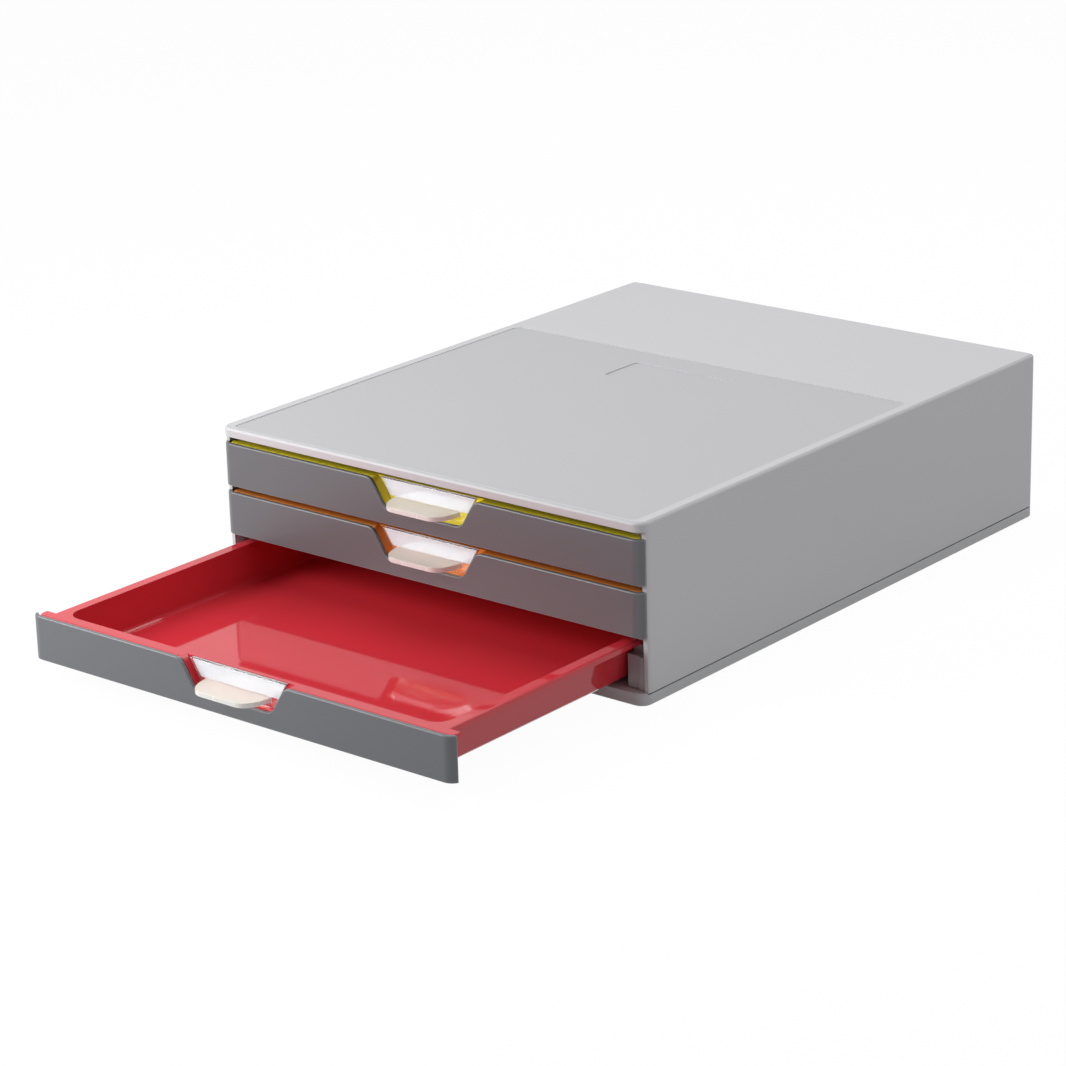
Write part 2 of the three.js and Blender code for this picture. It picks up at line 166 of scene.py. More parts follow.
def new_material(name: str) -> tuple[bpy.types.Material, bpy.types.NodeTree]:
    """Starts a node material.

    Args:
        name: The material's name.

    Returns:
        The material and its emptied tree.
    """
    material = bpy.data.materials.new(name)
    material.use_nodes = True
    material.node_tree.nodes.clear()
    return material, material.node_tree


@dataclass(frozen=True)
class SparkErodedABS:
    """ABS moulded in a spark-eroded tool: an even satin skin, with a painted highlight that makes it a
    little paler along its edges.
    """

    name: str
    colour: str
    flow_colour: str
    highlight_colour: str
    roughness: float = 0.42
    sheen_spread: float = 0.05
    grain_mm: float = 0.9  # The real grain is near 0.2 mm: this is as fine as the picture can show
    grain_height_mm: float = 0.012
    grain_detail: float = 2.0
    grain_strength: float = 0.5
    flow_mm: float = 70.0
    flow_detail: float = 3.0
    edge_mm: float = 0.5
    edge_share: float = 0.8
    edge_likeness: float = 0.86  # How alike both normals still are where an edge is palest
    edge_samples: int = 4
    ior: float = 1.54

    def make(self) -> bpy.types.Material:
        """Builds the material.

        Returns:
            The node material.
        """
        material, tree = new_material(self.name)
        place = add_node(tree, "ShaderNodeTexCoord")
        flow = add_node(tree, "ShaderNodeTexNoise", {
            "Scale": per_metre(self.flow_mm), "Detail": self.flow_detail}, {"Vector": (place, "Object")})
        grain = add_node(tree, "ShaderNodeTexNoise", {
            "Scale": per_metre(self.grain_mm), "Detail": self.grain_detail}, {"Vector": (place, "Object")})
        edge = add_node(tree, "ShaderNodeBevel", {"Radius": self.edge_mm * MM}, samples=self.edge_samples)
        flat = add_node(tree, "ShaderNodeNewGeometry")
        likeness = add_node(tree, "ShaderNodeVectorMath", None, {
            SUM_FIRST: (edge, "Normal"), SUM_SECOND: (flat, "Normal")}, operation="DOT_PRODUCT")
        # Painted highlight: the share of the highlight colour rises where the rounded normal turns away
        # from the flat one near an edge
        highlight_share = add_node(tree, "ShaderNodeMapRange", {
            "From Min": 1.0, "From Max": self.edge_likeness, "To Min": 0.0, "To Max": self.edge_share},
            {"Value": (likeness, "Value")})
        body = add_node(tree, "ShaderNodeMix", {
            COLOUR_FIRST: linear(self.colour), COLOUR_SECOND: linear(self.flow_colour)},
            {COLOUR_SHARE: (flow, "Fac")}, data_type="RGBA")
        colour = add_node(tree, "ShaderNodeMix", {COLOUR_SECOND: linear(self.highlight_colour)}, {
            COLOUR_SHARE: (highlight_share, "Result"), COLOUR_FIRST: (body, COLOUR_RESULT)}, data_type="RGBA")
        sheen = add_node(tree, "ShaderNodeMapRange", {
            "To Min": self.roughness - self.sheen_spread, "To Max": self.roughness + self.sheen_spread},
            {"Value": (flow, "Fac")})
        bump = add_node(tree, "ShaderNodeBump", {
            "Strength": self.grain_strength, "Distance": self.grain_height_mm * MM},
            {"Height": (grain, "Fac")})
        shader = add_node(tree, "ShaderNodeBsdfPrincipled", {"IOR": self.ior}, {
            "Base Color": (colour, COLOUR_RESULT), "Roughness": (sheen, "Result"),
            "Normal": (bump, "Normal")})
        add_node(tree, "ShaderNodeOutputMaterial", None, {"Surface": (shader, "BSDF")})
        return material


@dataclass(frozen=True)
class PolishedPolystyrene:
    """Polystyrene moulded in a polished tool: deep even colour with near mirror reflections."""

    name: str
    colour: str
    deep_colour: str
    roughness: float = 0.05
    sheen_spread: float = 0.02
    ripple_mm: float = 60.0
    ripple_height_mm: float = 0.01
    ripple_detail: float = 1.0
    ripple_strength: float = 0.3
    haze_mm: float = 9.0
    haze_detail: float = 5.0
    specular: float = 0.28
    ior: float = 1.59

    def make(self) -> bpy.types.Material:
        """Builds the material.

        Returns:
            The node material.
        """
        material, tree = new_material(self.name)
        place = add_node(tree, "ShaderNodeTexCoord")
        ripple = add_node(tree, "ShaderNodeTexNoise", {
            "Scale": per_metre(self.ripple_mm), "Detail": self.ripple_detail},
            {"Vector": (place, "Object")})
        haze = add_node(tree, "ShaderNodeTexNoise", {
            "Scale": per_metre(self.haze_mm), "Detail": self.haze_detail}, {"Vector": (place, "Object")})
        colour = add_node(tree, "ShaderNodeMix", {
            COLOUR_FIRST: linear(self.colour), COLOUR_SECOND: linear(self.deep_colour)},
            {COLOUR_SHARE: (ripple, "Fac")}, data_type="RGBA")
        sheen = add_node(tree, "ShaderNodeMapRange", {
            "To Min": self.roughness - self.sheen_spread, "To Max": self.roughness + self.sheen_spread},
            {"Value": (haze, "Fac")})
        bump = add_node(tree, "ShaderNodeBump", {
            "Strength": self.ripple_strength, "Distance": self.ripple_height_mm * MM},
            {"Height": (ripple, "Fac")})
        shader = add_node(tree, "ShaderNodeBsdfPrincipled", {
            "IOR": self.ior, "Specular IOR Level": self.specular}, {
            "Base Color": (colour, COLOUR_RESULT), "Roughness": (sheen, "Result"),
            "Normal": (bump, "Normal")})
        add_node(tree, "ShaderNodeOutputMaterial", None, {"Surface": (shader, "BSDF")})
        return material


@dataclass(frozen=True)
class ClearPolystyrene:
    """Clear polystyrene: see-through, with a haze that rises where the tool wasn't polished."""

    name: str
    tint: str
    roughness: float
    transmission: float
    haze_mm: float = 4.0
    haze_detail: float = 4.0
    haze_spread_share: float = 0.3
    lamp_share: float = 0.8  # The share of lamp light that passes, where real walls bend it through
    specular: float = 0.3
    ior: float = 1.59

    def make(self) -> bpy.types.Material:
        """Builds the material.

        Returns:
            The node material.
        """
        material, tree = new_material(self.name)
        place = add_node(tree, "ShaderNodeTexCoord")
        haze = add_node(tree, "ShaderNodeTexNoise", {
            "Scale": per_metre(self.haze_mm), "Detail": self.haze_detail}, {"Vector": (place, "Object")})
        sheen = add_node(tree, "ShaderNodeMapRange", {
            "To Min": self.roughness * (1 - self.haze_spread_share),
            "To Max": self.roughness * (1 + self.haze_spread_share)}, {"Value": (haze, "Fac")})
        wall = add_node(tree, "ShaderNodeBsdfPrincipled", {
            "Base Color": linear(self.tint), "IOR": self.ior, "Specular IOR Level": self.specular,
            "Transmission Weight": self.transmission},
            {"Roughness": (sheen, "Result")})
        path = add_node(tree, "ShaderNodeLightPath")
        share = add_node(tree, "ShaderNodeMath", {SUM_SECOND: self.lamp_share},
                         {SUM_FIRST: (path, "Is Shadow Ray")}, operation="MULTIPLY")
        passed = add_node(tree, "ShaderNodeBsdfTransparent")
        mixed = add_node(tree, "ShaderNodeMixShader", None, {
            SHADER_SHARE: (share, "Value"), SHADER_FIRST: (wall, "BSDF"), SHADER_SECOND: (passed, "BSDF")})
        add_node(tree, "ShaderNodeOutputMaterial", None, {"Surface": (mixed, "Shader")})
        return material


@dataclass(frozen=True)
class MattSurface:
    """A matt surface whose fine relief has a tint of its own."""

    name: str
    colour: str
    relief_colour: str
    roughness: float
    relief_mm: float
    relief_detail: float
    ior: float
    relief_height_mm: float = 0.02
    relief_strength: float = 0.4

    def make(self) -> bpy.types.Material:
        """Builds the material.

        Returns:
            The node material.
        """
        material, tree = new_material(self.name)
        place = add_node(tree, "ShaderNodeTexCoord")
        relief = add_node(tree, "ShaderNodeTexNoise", {
            "Scale": per_metre(self.relief_mm), "Detail": self.relief_detail},
            {"Vector": (place, "Object")})
        colour = add_node(tree, "ShaderNodeMix", {
            COLOUR_FIRST: linear(self.colour), COLOUR_SECOND: linear(self.relief_colour)},
            {COLOUR_SHARE: (relief, "Fac")}, data_type="RGBA")
        bump = add_node(tree, "ShaderNodeBump", {
            "Strength": self.relief_strength, "Distance": self.relief_height_mm * MM},
            {"Height": (relief, "Fac")})
        shader = add_node(tree, "ShaderNodeBsdfPrincipled", {
            "IOR": self.ior, "Roughness": self.roughness}, {
            "Base Color": (colour, COLOUR_RESULT), "Normal": (bump, "Normal")})
        add_node(tree, "ShaderNodeOutputMaterial", None, {"Surface": (shader, "BSDF")})
        return material


@dataclass(frozen=True)
class UncoatedCard(MattSurface):
    """Uncoated white card: matt, with faint fibres."""

    roughness: float = 0.85
    relief_mm: float = 0.6
    relief_detail: float = 4.0
    ior: float = 1.5


@dataclass(frozen=True)
class MouldedRubber(MattSurface):
    """Moulded rubber: near black, matt and slightly dusty."""

    roughness: float = 0.9
    relief_mm: float = 1.5
    relief_detail: float = 5.0
    ior: float = 1.52


# In each grey finish below, the third colour is the painted highlight that pales its edges
CASE_ABS = SparkErodedABS("case_grey_abs", "#C9C9CC", "#CDCDD0", "#DCDCDF", edge_share=0.5)
FIELD_ABS = SparkErodedABS("case_field_grey_abs", "#BBBBBE", "#BFBFC2", "#D6D6D8",
                           roughness=0.5, grain_height_mm=0.03, edge_share=0.5)
BASE_ABS = SparkErodedABS("base_grey_abs", "#BDBEC1", "#C2C3C6", "#CFD0D2")
# The guides' grey is painted darker than the base's: painted shade for the shadow they stand in inside the
# case
SHADED_GUIDE_ABS = SparkErodedABS("guide_shaded_grey_abs", "#9C9DA0", "#A0A1A4", "#AEAFB1")
COVER_ABS = SparkErodedABS("cover_grey_abs", "#66686C", "#696B6F", "#B8B7B6",
                           roughness=0.36, edge_mm=0.7)
TRAY_FINISH = {
    Level.BOTTOM: PolishedPolystyrene("tray_red_polystyrene", "#DA3742", "#D3333E"),
    Level.MIDDLE: PolishedPolystyrene("tray_orange_polystyrene", "#F39346", "#EE8C40"),
    Level.TOP: PolishedPolystyrene("tray_yellow_polystyrene", "#F6E63E", "#F1E039"),
}
TRAY_SLOT = {Level.BOTTOM: "tray_red", Level.MIDDLE: "tray_orange", Level.TOP: "tray_yellow"}
WINDOW_FINISH = ClearPolystyrene("window_clear_polystyrene", "#FCFCFC", 0.12, 1.0)
LIP_FINISH = ClearPolystyrene("lip_satin_clear_polystyrene", "#EDE6DC", 0.34, 0.66)
# The rim carries light out of the plate: its whiter tint and low transmission are a painted glow for that
# light, so it looks whiter than the lip's top.
RIM_FINISH = ClearPolystyrene("lip_rim_painted_glow_polystyrene", "#F0EFEC", 0.25, 0.12)
LABEL_FINISH = UncoatedCard("label_white_card", "#DCDDE2", "#D5D6DB")
FOOT_FINISH = MouldedRubber("foot_black_rubber", "#26272A", "#333436")


def arc(centre: tuple[float, float], radii: tuple[float, float], start: float, end: float,
        steps: int) -> Outline:
    """Draws an arc of an ellipse.

    Args:
        centre: Its centre.
        radii: Its half widths along both axes.
        start: The first angle.
        end: The last angle.
        steps: The number of chords.

    Returns:
        The points, with both ends.
    """
    turns = [start + (end - start) * i / steps for i in range(steps + 1)]
    return [(centre[0] + radii[0] * math.cos(t), centre[1] + radii[1] * math.sin(t)) for t in turns]


def plan(half: float, front: float, back: float, corner_front: float, corner_back: float,
         inset: float = 0.0, steps: int = 10) -> Outline:
    """Draws a plan outline with its own front and back corner radii.

    Args:
        half: Half its width.
        front: Its front line.
        back: Its back line.
        corner_front: The radius of its front corners.
        corner_back: The radius of its back corners.
        inset: How far it is drawn in all round.
        steps: The chords of each corner.

    Returns:
        The outline, from the front right corner on.
    """
    x, y0, y1 = half - inset, front + inset, back - inset
    r0, r1 = (max(corner - inset, LEAST_CORNER) for corner in (corner_front, corner_back))
    return [
        *arc((x - r0, y0 + r0), (r0, r0), -QUARTER, 0.0, steps),
        *arc((x - r1, y1 - r1), (r1, r1), 0.0, QUARTER, steps),
        *arc((r1 - x, y1 - r1), (r1, r1), QUARTER, 2 * QUARTER, steps),
        *arc((r0 - x, y0 + r0), (r0, r0), 2 * QUARTER, 3 * QUARTER, steps),
    ]


def finished(name: str, shape: bmesh.types.BMesh) -> bpy.types.Object:
    """Turns a mesh under construction into an object.

    Args:
        name: The object's name.
        shape: The mesh, which is freed.

    Returns:
        The object, in the scene.
    """
    mesh = bpy.data.meshes.new(name)
    shape.to_mesh(mesh)
    shape.free()
    piece = bpy.data.objects.new(name, mesh)
    bpy.context.scene.collection.objects.link(piece)
    return piece


def loft(name: str, rings: list[Ring]) -> bpy.types.Object:
    """Closes a skin through rings with equal numbers of points.

    Args:
        name: The object's name.
        rings: The rings, in order.

    Returns:
        The closed solid.
    """
    shape = bmesh.new()
    loops = [[shape.verts.new(point) for point in ring] for ring in rings]
    shape.faces.new(loops[0][::-1])
    shape.faces.new(loops[-1])
    for lower, upper in zip(loops, loops[1:]):
        for i, point in enumerate(lower):
            j = (i + 1) % len(lower)
            shape.faces.new((point, lower[j], upper[j], upper[i]))
    bmesh.ops.recalc_face_normals(shape, faces=shape.faces)
    return finished(name, shape)


def raised(name: str, outline: Outline, low: float, high: float) -> bpy.types.Object:
    """Raises a plan outline between two heights."""
    return loft(name, [[(x, y, z) for x, y in outline] for z in (low, high)])


def pushed(name: str, outline: Outline, front: float, back: float) -> bpy.types.Object:
    """Pushes an outline drawn in X and Z between two depths."""
    return loft(name, [[(x, y, z) for x, z in outline] for y in (front, back)])


def block(name: str, low: tuple[float, float, float],
          high: tuple[float, float, float]) -> bpy.types.Object:
    """Raises a rectangle between two corners."""
    outline = [(low[0], low[1]), (high[0], low[1]), (high[0], high[1]), (low[0], high[1])]
    return raised(name, outline, low[2], high[2])


def applied(draft: bpy.types.Object) -> bpy.types.Object:
    """Applies an object's modifiers.

    Args:
        draft: The object.

    Returns:
        The same object with its final mesh.
    """
    bpy.context.view_layer.update()
    evaluated = draft.evaluated_get(bpy.context.evaluated_depsgraph_get())
    mesh = bpy.data.meshes.new_from_object(evaluated)
    draft.modifiers.clear()
    draft.data = mesh
    return draft


def joined(base: bpy.types.Object, how: Join, *others: bpy.types.Object) -> bpy.types.Object:
    """Adds solids to a solid or cuts them from it.

    Args:
        base: The solid that is kept.
        how: Whether the others are added or cut.
        others: The other solids, which are used up.

    Returns:
        The base with its new mesh.
    """
    for other in others:
        modifier = base.modifiers.new("joined", "BOOLEAN")
        modifier.operation = how.value
        modifier.solver = "EXACT"
        modifier.object = other
        applied(base)
        bpy.data.objects.remove(other)
    return base


def cleaned(shape: bmesh.types.BMesh) -> None:
    """Joins points that coincide and dissolves edges inside flat faces."""
    bmesh.ops.remove_doubles(shape, verts=shape.verts, dist=SEAM)
    bmesh.ops.dissolve_limit(shape, angle_limit=FLAT, verts=shape.verts, edges=shape.edges)


def rounded(piece: bpy.types.Object, widest: float, segments: int,
            share: Callable[[Vector], float]) -> bpy.types.Object:
    """Rounds a moulding's sharp edges, each by a share of the widest round.

    Args:
        piece: The moulding.
        widest: The widest round.
        segments: The chords of a round.
        share: Gives an edge's share of the widest round from its middle.

    Returns:
        The same moulding with its rounds.
    """
    shape = bmesh.new()
    shape.from_mesh(piece.data)
    cleaned(shape)
    weight = shape.edges.layers.float.new("bevel_weight_edge")
    for edge in shape.edges:
        if edge.is_manifold and edge.calc_face_angle(0.0) > SHARP:
            edge[weight] = share((edge.verts[0].co + edge.verts[1].co) / 2)
    shape.to_mesh(piece.data)
    shape.free()
    bevel = piece.modifiers.new("round", "BEVEL")
    bevel.width = widest
    bevel.segments = segments
    bevel.limit_method = "WEIGHT"
    bevel.use_clamp_overlap = False
    return applied(piece)


def shaded(piece: bpy.types.Object) -> bpy.types.Object:
    """Shades a piece smoothly while its large faces stay flat.

    Args:
        piece: The piece, with any modifiers.

    Returns:
        The same piece with its final mesh.
    """
    for face in piece.data.polygons:
        face.use_smooth = True
    normals = piece.modifiers.new("normals", "WEIGHTED_NORMAL")
    normals.mode = "FACE_AREA"
    normals.weight = LARGE_FACE_WEIGHT
    return applied(piece)


def softened(node: str, name: str, width: float, segments: int = 2) -> bpy.types.Object:
    """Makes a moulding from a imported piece, with its sharp edges rounded.

    Args:
        node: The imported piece.
        name: The new object's name.
        width: The width of the rounds.
        segments: The chords of a round.

    Returns:
        The new object, with its modifiers applied.
    """
    shape = bmesh.new()
    shape.from_mesh(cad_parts[node].data)
    cleaned(shape)
    piece = finished(name, shape)
    bevel = piece.modifiers.new("edge", "BEVEL")
    bevel.width = width
    bevel.segments = segments
    bevel.limit_method = "ANGLE"
    bevel.angle_limit = SHARP
    return shaded(piece)


def dress(piece: bpy.types.Object, materials: Iterable[bpy.types.Material], slot: str, body: str,
          *nodes: str) -> bpy.types.Object:
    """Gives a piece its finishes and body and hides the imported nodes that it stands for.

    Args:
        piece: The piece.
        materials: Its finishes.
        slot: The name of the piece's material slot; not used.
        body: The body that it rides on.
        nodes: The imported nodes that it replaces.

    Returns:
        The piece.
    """
    piece.data.materials.clear()
    for material in materials:
        piece.data.materials.append(material)
    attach(piece, body)
    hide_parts(*nodes)
    LOG.info("%s: %d faces, on %s", piece.name, len(piece.data.polygons), body)
    return piece


def paint(piece: bpy.types.Object, number: int, chosen: Callable[[Vector, Vector], bool]) -> None:
    """Gives some faces of a piece another of its finishes.

    Args:
        piece: The piece, already dressed.
        number: The finish, by its place among the piece's own.
        chosen: Tells from a face's middle and normal whether it takes the finish.
    """
    for face in piece.data.polygons:
        if chosen(face.center, face.normal):
            face.material_index = number


@dataclass
class Housing:
    """The case with its base, side guides and feet."""

    low: Vector = field(init=False)
    high: Vector = field(init=False)
    front_radius: float = 6.5 * MM
    back_radius: float = 3.5 * MM
    wall: float = 2.2 * MM
    top_thickness: float = 2.6 * MM
    top_edge_radius: float = 1.8 * MM
    top_edge_steps: int = 6
    front_height: float = 5.2 * MM
    front_thickness: float = 2.4 * MM
    side_setback: float = 3.9 * MM
    field_depth: float = 0.4 * MM
    field_side_border: float = 6.5 * MM
    field_front_border: float = 3.0 * MM
    field_back: float = 238.0 * MM
    field_back_radius: float = 4.5 * MM
    field_front_radius: float = 4.0 * MM
    recess_half: float = 33.0 * MM
    recess_front: float = 190.0 * MM
    recess_back: float = 220.0 * MM
    recess_depth: float = 0.6 * MM
    recess_radius: float = 3.0 * MM
    mouth_round: float = 0.35 * MM
    mouth_round_steps: int = 2
    field_round_share: float = 0.3
    moulding_round: float = 0.25 * MM
    body: str = "case"

    def __post_init__(self) -> None:
        """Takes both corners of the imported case's box."""
        self.low, self.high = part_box("case_shell")

    def build(self) -> None:
        """Builds and dresses the case, base, guides and feet."""
        self.case()
        self.base()
        self.guides()
        self.feet()

    def outline(self, inset: float) -> Outline:
        """Draws the case from above.

        Args:
            inset: How far it is drawn in.

        Returns:
            The outline in X and Y.
        """
        return plan(
            self.high.x, self.low.y, self.high.y, self.front_radius, self.back_radius, inset)

    def case_block(self) -> bpy.types.Object:
        """Builds the case as a solid block with its round top edge.

        Returns:
            The block.
        """
        rings = [[(x, y, self.low.z) for x, y in self.outline(0.0)]]
        for i in range(self.top_edge_steps + 1):
            angle = QUARTER * i / self.top_edge_steps
            inset = self.top_edge_radius * (1 - math.cos(angle))
            z = self.high.z - self.top_edge_radius * (1 - math.sin(angle))
            rings.append([(x, y, z) for x, y in self.outline(inset)])
        return loft("case_shell_moulding", rings)

    def case_room(self) -> bpy.types.Object:
        """Builds the tool for the room inside the case, which leaves the bar across the front.

        Returns:
            The cutting tool.
        """
        low, high = self.low, self.high
        room = raised("room", self.outline(self.wall), low.z - OVERRUN, high.z - self.top_thickness)
        return joined(room, Join.CUT, block(
            "front_bar", (-high.x, low.y - OVERRUN, high.z - self.front_height),
            (high.x, low.y + self.front_thickness, high.z)))

    def case_mouth(self) -> bpy.types.Object:
        """Builds the tool that sets the side walls back below the front bar.

        Returns:
            The cutting tool.
        """
        low, high = self.low, self.high
        return block("mouth", (-high.x - OVERRUN, low.y - OVERRUN, low.z - OVERRUN),
                     (high.x + OVERRUN, low.y + self.side_setback, high.z - self.front_height))

    def top_hollows(self) -> tuple[bpy.types.Object, bpy.types.Object]:
        """Builds the tools for the shallow field in the top and for the bare recess in it.

        Returns:
            Both cutting tools.
        """
        front, top = self.low.y, self.high.z
        floor, above = top - self.field_depth, top + OVERRUN
        field_plan = plan(
            self.high.x - self.field_side_border, front + self.field_front_border,
            front + self.field_back, self.field_front_radius, self.field_back_radius)
        recess_plan = plan(
            self.recess_half, front + self.recess_front, front + self.recess_back,
            self.recess_radius, self.recess_radius)
        return (raised("field", field_plan, floor, above),
                raised("recess", recess_plan, floor - self.recess_depth, above))

    def case(self) -> None:
        """Builds the case moulding with its shallow field and the bare recess in it."""
        case = joined(self.case_block(), Join.CUT, self.case_room(), self.case_mouth(),
                      *self.top_hollows())
        top = self.high.z
        near_top = top - self.field_depth - self.recess_depth - OVERRUN

        def share(middle: Vector) -> float:
            """Gives the edges of the field and recess a small round and the rest the full one."""
            in_top = middle.z > near_top and middle.y > self.low.y + OVERRUN
            return self.field_round_share if in_top else 1.0

        rounded(case, self.mouth_round, self.mouth_round_steps, share)
        dress(shaded(case), (CASE_ABS.make(), FIELD_ABS.make()), "case_grey", self.body, "case_shell")
        paint(case, CaseSkin.FIELD, lambda middle, normal: (
            normal.z > UPWARD and near_top < middle.z < top - SEAM))

    def base(self) -> None:
        """Builds the base moulding."""
        dress(softened("base_plate", "base_plate_moulding", self.moulding_round),
              (BASE_ABS.make(),), "base_grey", self.body, "base_plate")

    def guides(self) -> None:
        """Builds both side guides, with one finish."""
        finish = SHADED_GUIDE_ABS.make()
        for node in ("guide_left", "guide_right"):
            dress(softened(node, f"{node}_moulding", self.moulding_round),
                  (finish,), "guide_grey", self.body, node)

    def feet(self) -> None:
        """Builds the feet, with one finish."""
        finish = FOOT_FINISH.make()
        for corner in Corner:
            node = f"foot_{corner.value}"
            dress(softened(node, f"{node}_disc", self.moulding_round), (finish,), "foot_rubber",
                  self.body, node)


@dataclass
class Notch:
    """The grip notch of a front: a trapezium with a round bottom that widens into the top edge."""

    height: float
    top_half: float = 34.6 * MM
    bottom_half: float = 25.2 * MM
    depth: float = 15.2 * MM
    top_round: float = 3.4 * MM
    bottom_round: float = 3.4 * MM
    steps: int = 8

    @property
    def bottom(self) -> float:
        """The height of the notch's bottom above the foot of the front."""
        return self.height - self.depth

    def half_at(self, z: float, inset: float) -> float:
        """Gives half the notch's width at a height."""
        slope = (self.top_half - self.bottom_half) / self.depth
        return self.bottom_half - inset + slope * (z - self.bottom)

    def bend(self, start: tuple[float, float], middle: tuple[float, float],
             end: tuple[float, float]) -> Outline:
        """Draws a curve that is pulled towards a point.

        Args:
            start: Its start.
            middle: The point that pulls it.
            end: Its end.

        Returns:
            The points, with both ends.
        """
        turns = [i / self.steps for i in range(self.steps + 1)]
        return [tuple((1 - t) ** 2 * a + 2 * t * (1 - t) * b + t * t * c
                      for a, b, c in zip(start, middle, end)) for t in turns]

    def outline(self, inset: float, bottom: float, top: float, radius: float,
                flared: bool = False) -> Outline:
        """Draws the notch, or a piece that fits in it.

        Args:
            inset: How far the sides are drawn in.
            bottom: The height of the lower edge.
            top: The height of the upper edge.
            radius: The size of the rounds of the lower corners.
            flared: Whether the sides widen into the top edge of the front.

        Returns:
            The outline in X and Z.
        """
        low = self.half_at(bottom, inset)
        right = self.bend((low - radius, bottom), (low, bottom),
                          (self.half_at(bottom + radius, inset), bottom + radius))
        if flared:
            wide = self.half_at(self.height, inset)
            under = self.height - self.top_round
            right += self.bend((self.half_at(under, inset), under), (wide, self.height),
                               (wide + self.top_round, self.height))
            right.append((wide + self.top_round, top))
        else:
            right.append((self.half_at(top, inset), top))
        return right + [(-x, z) for x, z in reversed(right)]


@dataclass
class Drawer:
    """One drawer: a tray with its front cover, grip window and label."""

    level: Level
    cover_finish: bpy.types.Material
    window_finishes: tuple[bpy.types.Material, ...]
    label_finish: bpy.types.Material
    notch: Notch = field(init=False)
    case_half: float = field(init=False)
    corner_radius: float = 6.5 * MM
    cover_wall: float = 2.0 * MM
    cover_return: float = 3.6 * MM
    cover_ring: float = 26.0 * MM  # How deep the ring is that the cover is cut from
    cover_round: float = 0.9 * MM
    cover_round_steps: int = 4
    cover_heel_share: float = 0.4
    flange_depth: float = 5.2 * MM
    flange_inner: float = 1.0 * MM
    flange_thickness: float = 0.7 * MM
    flange_end: float = 16.0 * MM
    window_front: float = 4.6 * MM
    window_wall: float = 1.4 * MM
    window_side_gap: float = 2.4 * MM
    window_bottom_gap: float = 0.4 * MM
    window_top_drop: float = 0.4 * MM
    window_round: float = 0.35 * MM
    window_round_steps: int = 3
    lip_root_half: float = 21.5 * MM
    lip_straight_half: float = 11.5 * MM
    lip_reach: float = 10.2 * MM
    lip_root_drop: float = 9.2 * MM
    lip_plate: float = 1.4 * MM
    lip_bead: float = 2.6 * MM
    lip_bead_width: float = 1.3 * MM
    lip_steps: int = 20
    label_gap: float = 0.3 * MM
    label_thickness: float = 0.4 * MM
    label_side_gap: float = 3.0 * MM
    label_bottom_gap: float = 5.8 * MM
    label_top_drop: float = 0.4 * MM
    label_round: float = 1.0 * MM
    tray_round: float = 0.35 * MM

    def __post_init__(self) -> None:
        """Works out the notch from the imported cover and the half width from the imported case."""
        low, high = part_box(self.node("front_cover"))
        self.notch = Notch(high.z - low.z)
        self.case_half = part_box("case_shell")[1].x

    @property
    def body(self) -> str:
        """The body that the drawer's pieces ride on."""
        return f"drawer_{self.level.value}"

    def node(self, part: str) -> str:
        """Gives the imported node's name for one of the drawer's parts."""
        return f"{part}_{self.level.value}"

    def settle(self, piece: bpy.types.Object) -> bpy.types.Object:
        """Moves a piece's mesh from the drawer's own frame to its place in the case.

        Args:
            piece: The piece.

        Returns:
            The same piece.
        """
        low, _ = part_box(self.node("front_cover"))
        piece.data.transform(Matrix.Translation((0.0, low.y, low.z)))
        return piece

    def build(self) -> None:
        """Builds and dresses the drawer's pieces."""
        self.tray()
        self.cover()
        self.window()
        self.label()

    def tray(self) -> None:
        """Builds the tray."""
        tray = self.node("tray")
        dress(softened(tray, f"{tray}_moulding", self.tray_round),
              (TRAY_FINISH[self.level].make(),), TRAY_SLOT[self.level], self.body, tray)

    def cover_outline(self, inset: float) -> Outline:
        """Draws the ring that the cover is cut from, drawn in by an inset."""
        return plan(self.case_half, 0.0, self.cover_ring, self.corner_radius, self.corner_radius, inset)

    def cover_share(self, middle: Vector) -> float:
        """Gives the outer top and notch edges the full round and the rest a small one.

        Args:
            middle: An edge's middle, in the drawer's own frame.

        Returns:
            The edge's share of the cover's round.
        """
        along = max(abs(middle.x) - self.case_half + self.corner_radius, 0.0)
        depth_in = self.corner_radius - math.hypot(along, self.corner_radius - middle.y)
        outer = depth_in < self.cover_wall / 2
        return 1.0 if outer and middle.z > self.notch.bottom - SEAM else self.cover_heel_share

    def cover(self) -> None:
        """Builds the front cover: a plate with ends curved back and a round top edge.

        A whole ring is rounded first and its back is cut away then, so the rounds run out cleanly.
        """
        node = self.node("front_cover")
        height = self.notch.height
        shell = raised(f"{node}_moulding", self.cover_outline(0.0), 0.0, height)
        room = raised("room", self.cover_outline(self.cover_wall), -OVERRUN, height + OVERRUN)
        grip = pushed("grip", self.notch.outline(
            0.0, self.notch.bottom, height + OVERRUN, self.notch.bottom_round, True),
            -OVERRUN, self.flange_depth)
        rounded(joined(shell, Join.CUT, room, grip), self.cover_round, self.cover_round_steps,
                self.cover_share)
        side, end = self.case_half + OVERRUN, self.case_half - self.flange_end
        joined(shell, Join.CUT, block("behind", (-side, self.cover_return, -OVERRUN), (
            side, self.cover_ring + OVERRUN, height + OVERRUN)))
        joined(shell, Join.ADD, block("flange", (-end, self.flange_inner, 0.0), (
            end, self.flange_depth, self.flange_thickness)))
        dress(self.settle(shaded(shell)), (self.cover_finish,), "cover_grey", self.body, node)

    def lip_outline(self, inset: float) -> Outline:
        """Draws the grip lip from above.

        Args:
            inset: How far it is drawn in.

        Returns:
            The outline in X and Y.
        """
        root = self.window_front + self.window_wall / 2
        sweep = self.lip_root_half - self.lip_straight_half - inset, self.lip_reach + root - inset
        right = arc((self.lip_straight_half, root), sweep, -QUARTER, 0.0, self.lip_steps)
        return [(-x, y) for x, y in reversed(right)] + right

